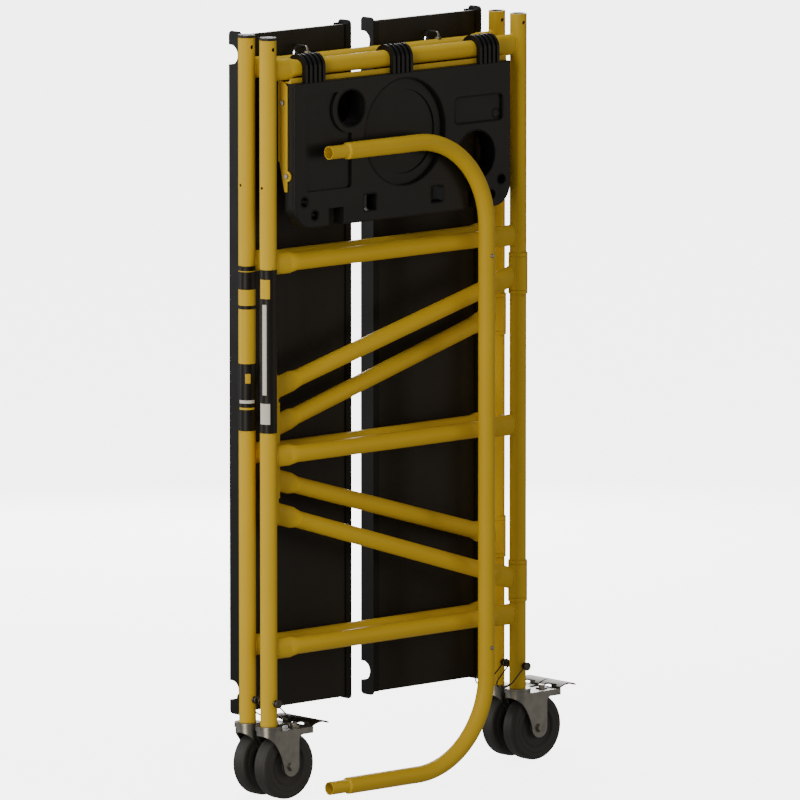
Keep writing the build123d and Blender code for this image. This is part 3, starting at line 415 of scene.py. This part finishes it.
LABEL_GAP = 0.05 * MM
FILM = 0.15 * MM
LABEL_STEPS = 110
LABEL_TURN = 330.0
LABEL_FACE = -42.0      # the way round the post that the printing faces, from straight ahead
YELLOW, WHITE = 1, 2
LABELS = {      # end: (lowest, highest, blocks of (low, high, from and to in degrees, film))
    "front": (696 * MM, 1003 * MM, ((949 * MM, 985 * MM, -66.0, 12.0, YELLOW),
                                    (768 * MM, 938 * MM, -42.0, -12.0, WHITE),
                                    (713 * MM, 752 * MM, -66.0, 12.0, WHITE))),
    "rear": (694 * MM, 1004 * MM, ((993.5 * MM, 995 * MM, -90.0, 90.0, YELLOW),
                                   (930 * MM, 960 * MM, -90.0, 90.0, YELLOW),
                                   (820.5 * MM, 923 * MM, -90.0, 90.0, YELLOW),
                                   (784 * MM, 802 * MM, -12.0, 24.0, YELLOW),
                                   (746 * MM, 752 * MM, -60.0, 60.0, WHITE),
                                   (734 * MM, 738 * MM, -60.0, 60.0, YELLOW))),
}
for end, (low, high, blocks) in LABELS.items():
    post = frame_posts[end, "left"]
    start = math.radians(LABEL_FACE - LABEL_TURN / 2)
    edge_foot = Vector((post.x + (TUBE_R + LABEL_GAP) * math.sin(start),
                        post.y - (TUBE_R + LABEL_GAP) * math.cos(start), 0))
    mesh = bmesh.new()
    side_edge = mesh.edges.new([mesh.verts.new(edge_foot + Vector((0, 0, z))) for z in (low, high)])
    bmesh.ops.spin(mesh, geom=[*side_edge.verts, side_edge], cent=(post.x, post.y, 0),
                   axis=(0, 0, 1), angle=math.radians(LABEL_TURN), steps=LABEL_STEPS)
    for height in {height for block in blocks for height in block[:2]}:
        bmesh.ops.bisect_plane(mesh, geom=mesh.verts[:] + mesh.edges[:] + mesh.faces[:],
                               plane_co=(0, 0, height), plane_no=(0, 0, 1))
    for face in mesh.faces:
        middle = face.calc_center_median()
        out = Vector((middle.x - post.x, middle.y - post.y, 0))
        if face.normal.dot(out) < 0:
            face.normal_flip()
        turn = (math.degrees(math.atan2(out.x, -out.y)) - LABEL_FACE + 180) % 360 - 180
        for block_low, block_high, left, right, film_index in blocks:
            if block_low < middle.z < block_high and left < turn < right:
                face.material_index = film_index
    bmesh.ops.solidify(mesh, geom=mesh.faces[:], thickness=-FILM)
    finished(f"{end}_post_label", mesh, f"{end}_frame", vinyl, sharp=60)

# ---- Casters ----
# Pressed and zinc plated forks that swivel on a ball race, a solid rubber wheel on a plain
# bearing, and a foot pedal that clamps the tread. A pin with a wire bail holds the stem.

corners = [f"{end}_{side}" for end in ("front", "rear") for side in ("left", "right")]


def arc(centre, radius, start, stop, steps):
    """Points of a circular arc between two angles in degrees."""
    turns = [math.radians(start + (stop - start) * n / steps) for n in range(steps + 1)]
    return [(centre[0] + radius * math.cos(t), centre[1] + radius * math.sin(t)) for t in turns]


def turned(profile, centre, axis, steps=96):
    """Spin a closed profile of (distance from the axis, distance along it) into a solid ring."""
    axis = Vector(axis)
    out = Vector((0, 0, 1)) if abs(axis.z) < 0.5 else Vector((1, 0, 0))
    mesh = bmesh.new()
    ring = [mesh.verts.new(Vector(centre) + out * r + axis * a) for r, a in profile]
    edges = [mesh.edges.new((a, b)) for a, b in zip(ring, ring[1:] + ring[:1])]
    bmesh.ops.spin(mesh, geom=ring + edges, cent=centre, axis=axis, angle=math.tau, steps=steps,
                   use_merge=True)
    bmesh.ops.remove_doubles(mesh, verts=mesh.verts, dist=MERGE)
    bmesh.ops.recalc_face_normals(mesh, faces=mesh.faces)
    return mesh


# Moulded hard rubber: charcoal black, matt on the tread with a satin sheen on the flanks.
rubber, tree = new_material("moulded hard rubber")
place = add_node(tree, "ShaderNodeTexCoord").outputs["Object"]
bloom = add_node(tree, "ShaderNodeTexNoise", {"Scale": 28.0, "Detail": 6.0, "Roughness": 0.65},
                 Vector=place)
tint = add_node(tree, "ShaderNodeMix", {"data_type": "RGBA"})
tree.links.new(bloom.outputs["Fac"], tint.inputs[0])
tint.inputs[6].default_value = linear("#262627")
tint.inputs[7].default_value = linear("#343435")
gloss = add_node(tree, "ShaderNodeMapRange", {"To Min": 0.45, "To Max": 0.65},
                 Value=bloom.outputs["Fac"])
PORES = 1.2 * MM      # the mould's blasted texture, drawn coarser than its true 0.2 mm
pores = add_node(tree, "ShaderNodeTexNoise", {"Scale": 1 / PORES, "Detail": 2.0}, Vector=place)
bump = add_node(tree, "ShaderNodeBump", {"Strength": 0.15, "Distance": 0.1 * MM},
                Height=pores.outputs["Fac"])
shader = add_node(tree, "ShaderNodeBsdfPrincipled", {"IOR": 1.45}, Base_Color=tint.outputs[2],
                  Roughness=gloss.outputs["Result"], Normal=bump.outputs["Normal"])
add_node(tree, "ShaderNodeOutputMaterial", Surface=shader.outputs[0])

# Steel left with its dark heat-treatment scale and a film of oil: brown-grey, unevenly dull.
dark_steel, tree = new_material("oil blackened steel")
place = add_node(tree, "ShaderNodeTexCoord").outputs["Object"]
scale_marks = add_node(tree, "ShaderNodeTexNoise",
                       {"Scale": 90.0, "Detail": 5.0, "Roughness": 0.7}, Vector=place)
tint = add_node(tree, "ShaderNodeMix", {"data_type": "RGBA"})
tree.links.new(scale_marks.outputs["Fac"], tint.inputs[0])
tint.inputs[6].default_value = linear("#403D39")
tint.inputs[7].default_value = linear("#6A6660")
gloss = add_node(tree, "ShaderNodeMapRange", {"To Min": 0.36, "To Max": 0.55},
                 Value=scale_marks.outputs["Fac"])
shader = add_node(tree, "ShaderNodeBsdfPrincipled", {"Metallic": 1.0}, Base_Color=tint.outputs[2],
                  Roughness=gloss.outputs["Result"])
add_node(tree, "ShaderNodeOutputMaterial", Surface=shader.outputs[0])

WHEEL_R = 63.5 * MM
AXLE_R = 5.06 * MM
HUB_HALF = 19 * MM
TREAD_HALF = 16 * MM
WEB_HALF = 12.5 * MM
CROWN_R = 8 * MM
RIM_STEP_R = 40 * MM
BOSS_R = 14 * MM
BOSS_EDGE_R = 2 * MM
BOSS_FILLET_R = 4 * MM
WEB_FILLET_R = 1.5 * MM
WEB_BACK = 5 * MM
RIM_EDGE_R = 1.2 * MM
RIB_OUT = 9 * MM          # a fine ring on the flank, outside the step
RIB_RISE = 0.4 * MM
RIB_R = 1.0 * MM
LINE_DEPTH = 0.3 * MM     # a pair of fine lines round the tread, beside its middle
LINE_START = 2.2 * MM
LINE_MIDDLE = 1.2 * MM
LINE_END = 0.5 * MM
for corner in corners:
    node = f"{corner}_caster_wheel"
    axle = centre_of(node)
    half = ([(AXLE_R, 0), (AXLE_R, HUB_HALF), (BOSS_R - BOSS_EDGE_R, HUB_HALF)]
            + arc((BOSS_R - BOSS_EDGE_R, HUB_HALF - BOSS_EDGE_R), BOSS_EDGE_R, 90, 0, 4)
            + arc((BOSS_R + BOSS_FILLET_R, WEB_HALF + BOSS_FILLET_R), BOSS_FILLET_R, 180, 270, 5)
            + arc((RIM_STEP_R - WEB_BACK, WEB_HALF + WEB_FILLET_R), WEB_FILLET_R, 270, 350, 4)
            + arc((RIM_STEP_R, TREAD_HALF - RIM_EDGE_R), RIM_EDGE_R, 170, 90, 4)
            + arc((RIM_STEP_R + RIB_OUT, TREAD_HALF + RIB_RISE), RIB_R, 200, 340, 4)
            + arc((WHEEL_R - CROWN_R, TREAD_HALF - CROWN_R), CROWN_R, 90, 4, 12)
            + [(WHEEL_R, LINE_START), (WHEEL_R - LINE_DEPTH, LINE_MIDDLE), (WHEEL_R, LINE_END)])
    profile = half + [(r, -a) for r, a in reversed(half) if a > 0]
    wheel = turned(profile, axle, (0, 1, 0), steps=112)
    finished(f"{corner}_tyre", wheel, f"{corner}_wheel", [rubber], [node], sharp=50)

    node = f"{corner}_caster_fork"
    finished(f"{corner}_fork", softened(node, 0.7 * MM, steps=3), node_body[node], [zinc],
             [node])
    node = f"{corner}_caster_bolts"
    finished(f"{corner}_bolts", softened(node, 0.5 * MM), node_body[node], [zinc],
             [node])
    node = f"{corner}_caster_pedal"
    finished(f"{corner}_pedal_plate", softened(node, 0.6 * MM), node_body[node], [dark_steel],
             [node])

for end in ("front", "rear"):
    node = f"{end}_caster_stems"
    finished(f"{end}_stems", softened(node, 0.5 * MM), node_body[node], [zinc],
             [node])
    node = f"{end}_lock_pins"
    finished(f"{end}_pins", softened(node, 0.4 * MM), node_body[node], [dark_steel],
             [node])

# ---- Decks ----
# Each deck is a film-faced plywood panel in a frame of black painted steel channel, whose
# notched ends hook over the rungs. Both hang behind the rear frame on keyholes.

# Black stoved enamel on folded steel: smooth, satin, a touch cool.
deck_paint, tree = new_material("black stoved enamel")
place = add_node(tree, "ShaderNodeTexCoord").outputs["Object"]
film = add_node(tree, "ShaderNodeTexNoise", {"Scale": 18.0, "Detail": 4.0}, Vector=place)
tint = add_node(tree, "ShaderNodeMix", {"data_type": "RGBA"})
tree.links.new(film.outputs["Fac"], tint.inputs[0])
tint.inputs[6].default_value = linear("#0C0D0E")
tint.inputs[7].default_value = linear("#131415")
gloss = add_node(tree, "ShaderNodeMapRange", {"To Min": 0.4, "To Max": 0.55},
                 Value=film.outputs["Fac"])
shader = add_node(tree, "ShaderNodeBsdfPrincipled", {"IOR": 1.4, "Specular IOR Level": 0.25},
                  Base_Color=tint.outputs[2], Roughness=gloss.outputs["Result"])
add_node(tree, "ShaderNodeOutputMaterial", Surface=shader.outputs[0])

# Phenolic film-faced plywood: brown-black and matt, with the fine mesh grip of the hot press.
deck_film, tree = new_material("phenolic film faced plywood")
place = add_node(tree, "ShaderNodeTexCoord").outputs["Object"]
streak_space = add_node(tree, "ShaderNodeMapping", {"Scale": (1.0, 1.0, 0.12)}, Vector=place)
streaks = add_node(tree, "ShaderNodeTexNoise", {"Scale": 22.0, "Detail": 5.0},
                   Vector=streak_space.outputs[0])
tint = add_node(tree, "ShaderNodeMix", {"data_type": "RGBA"})
tree.links.new(streaks.outputs["Fac"], tint.inputs[0])
tint.inputs[6].default_value = linear("#100E0B")
tint.inputs[7].default_value = linear("#191510")
MESH_PITCH = 2.6 * MM      # the press's wire mesh
WAVE_UNIT = 0.05 * math.tau      # a wave texture of scale 1 repeats over this length
waves = []
for turn in (45, -45):
    turned_space = add_node(tree, "ShaderNodeMapping", {"Rotation": (0, math.radians(turn), 0)},
                            Vector=place)
    waves.append(add_node(tree, "ShaderNodeTexWave",
                          {"Scale": WAVE_UNIT / MESH_PITCH, "Distortion": 0.0},
                          Vector=turned_space.outputs[0]))
mesh_height = add_node(tree, "ShaderNodeMath", {"operation": "MULTIPLY"})
for n, wave in enumerate(waves):
    tree.links.new(wave.outputs["Fac"], mesh_height.inputs[n])
bump = add_node(tree, "ShaderNodeBump", {"Strength": 0.2, "Distance": 0.15 * MM},
                Height=mesh_height.outputs[0])
gloss = add_node(tree, "ShaderNodeMapRange", {"To Min": 0.5, "To Max": 0.66},
                 Value=streaks.outputs["Fac"])
shader = add_node(tree, "ShaderNodeBsdfPrincipled", {"IOR": 1.4}, Base_Color=tint.outputs[2],
                  Roughness=gloss.outputs["Result"], Normal=bump.outputs["Normal"])
add_node(tree, "ShaderNodeOutputMaterial", Surface=shader.outputs[0])

for side in ("left", "right"):
    node = f"{side}_deck_frame"
    finished(f"{side}_deck_channels", softened(node, 0.7 * MM), node_body[node], [deck_paint],
             [node])
    node = f"{side}_deck_panel"
    finished(f"{side}_deck_board", softened(node, 0.5 * MM), node_body[node], [deck_film],
             [node])
finished("deck_pins", softened("deck_storage_pins", 0.3 * MM), "rear_frame", [zinc],
         ["deck_storage_pins"])

# ---- Tool tray ----
# One moulded tray with bucket holes, basins and tool holes, hung by three ribbed hooks over
# the front top rung, on a steel angle with an arm down each side.

# Injection moulded polypropylene: near black with a fine leather grain and a satin face.
tray_plastic, tree = new_material("moulded polypropylene")
place = add_node(tree, "ShaderNodeTexCoord").outputs["Object"]
flow = add_node(tree, "ShaderNodeTexNoise", {"Scale": 14.0, "Detail": 5.0, "Roughness": 0.6},
                Vector=place)
tint = add_node(tree, "ShaderNodeMix", {"data_type": "RGBA"})
tree.links.new(flow.outputs["Fac"], tint.inputs[0])
tint.inputs[6].default_value = linear("#0F1012")
tint.inputs[7].default_value = linear("#16171A")
LEATHER = 1.4 * MM      # leather grain of the mould
leather = add_node(tree, "ShaderNodeTexVoronoi", {"Scale": 1 / LEATHER, "feature": "SMOOTH_F1"},
                   Vector=place)
bump = add_node(tree, "ShaderNodeBump", {"Strength": 0.18, "Distance": 0.12 * MM},
                Height=leather.outputs["Distance"])
gloss = add_node(tree, "ShaderNodeMapRange", {"To Min": 0.38, "To Max": 0.5},
                 Value=flow.outputs["Fac"])
shader = add_node(tree, "ShaderNodeBsdfPrincipled", {"IOR": 1.45, "Specular IOR Level": 0.28},
                  Base_Color=tint.outputs[2], Roughness=gloss.outputs["Result"],
                  Normal=bump.outputs["Normal"])
add_node(tree, "ShaderNodeOutputMaterial", Surface=shader.outputs[0])

finished("tray_moulding", softened("tool_tray", 0.9 * MM, steps=3), "tray", [tray_plastic],
         ["tool_tray"])

# thin moulded lips: distance from the left post and height, then a radius, or half a width,
# half a height and a corner radius
POST_X = frame_posts["front", "left"].x
TRAY_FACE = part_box("tool_tray")[0].y
LIP_R = 1.3 * MM
BUCKET_HOLES = ((183 * MM, 1292 * MM, 34 * MM), (498 * MM, 1176 * MM, 46.5 * MM))
BASIN = (319 * MM, 1236 * MM, 100 * MM)
TOOL_HOLE_R = 8.5 * MM
TRAY_MIDDLE = 314.5 * MM
TOOL_HOLES = [(TRAY_MIDDLE + hand * aside, height, TOOL_HOLE_R) for hand in (-1, 1)
              for aside, height in ((248 * MM, 1125 * MM), (222 * MM, 1098 * MM))]
LIPPED_BOXES = ((505.5 * MM, 1263 * MM, 59.5 * MM, 24 * MM, 8 * MM),
                (231 * MM, 1111 * MM, 15 * MM, 15 * MM, 4 * MM),
                (399 * MM, 1111 * MM, 15 * MM, 15 * MM, 4 * MM))
COIN_RING = (552 * MM, 1251 * MM, 7 * MM)      # a small ring on the floor of the box, in its corner
BOX_DEPTH = 5 * MM
LIP_OUT = 1.6 * MM
RING_STEPS = 72
runs = []
for hole in (*BUCKET_HOLES, BASIN, *TOOL_HOLES, COIN_RING):
    x, height, radius = hole
    depth = BOX_DEPTH if hole == COIN_RING else 0.0
    ring = arc((POST_X + x, height), radius + LIP_OUT, 0, 360, RING_STEPS)[:-1]
    runs.append([((px, TRAY_FACE + depth, pz), 1.0) for px, pz in ring])
for x, height, half_width, half_height, corner_r in LIPPED_BOXES:
    outline = []
    for turn, (hand, rise) in enumerate(((1, 1), (-1, 1), (-1, -1), (1, -1))):
        corner_centre = (POST_X + x + hand * (half_width - corner_r),
                         height + rise * (half_height - corner_r))
        outline += arc(corner_centre, corner_r + LIP_OUT, 90 * turn, 90 * turn + 90, 6)
    runs.append([((px, TRAY_FACE, pz), 1.0) for px, pz in outline])
finished("tray_lips", bead_mesh(runs, LIP_R), "tray", [tray_plastic])

for node in ("tray_crossbar", "tray_left_arm", "tray_right_arm"):
    finished(f"{node}_steel", softened(node, 0.6 * MM), "tray", [powder_coat],
             [node])
finished("tray_fasteners", softened("tray_bolts", 0.4 * MM), "tray", [zinc],
         ["tray_bolts"])

# ---- Lock pin bails ----
# A loop of oiled spring wire on each lock pin, an eye wound round each end of the pin.

for corner in corners:
    node = f"{corner}_lock_bail"
    finished(f"{corner}_bail_wire", softened(node), f"{corner}_bail", [dark_steel],
             [node])
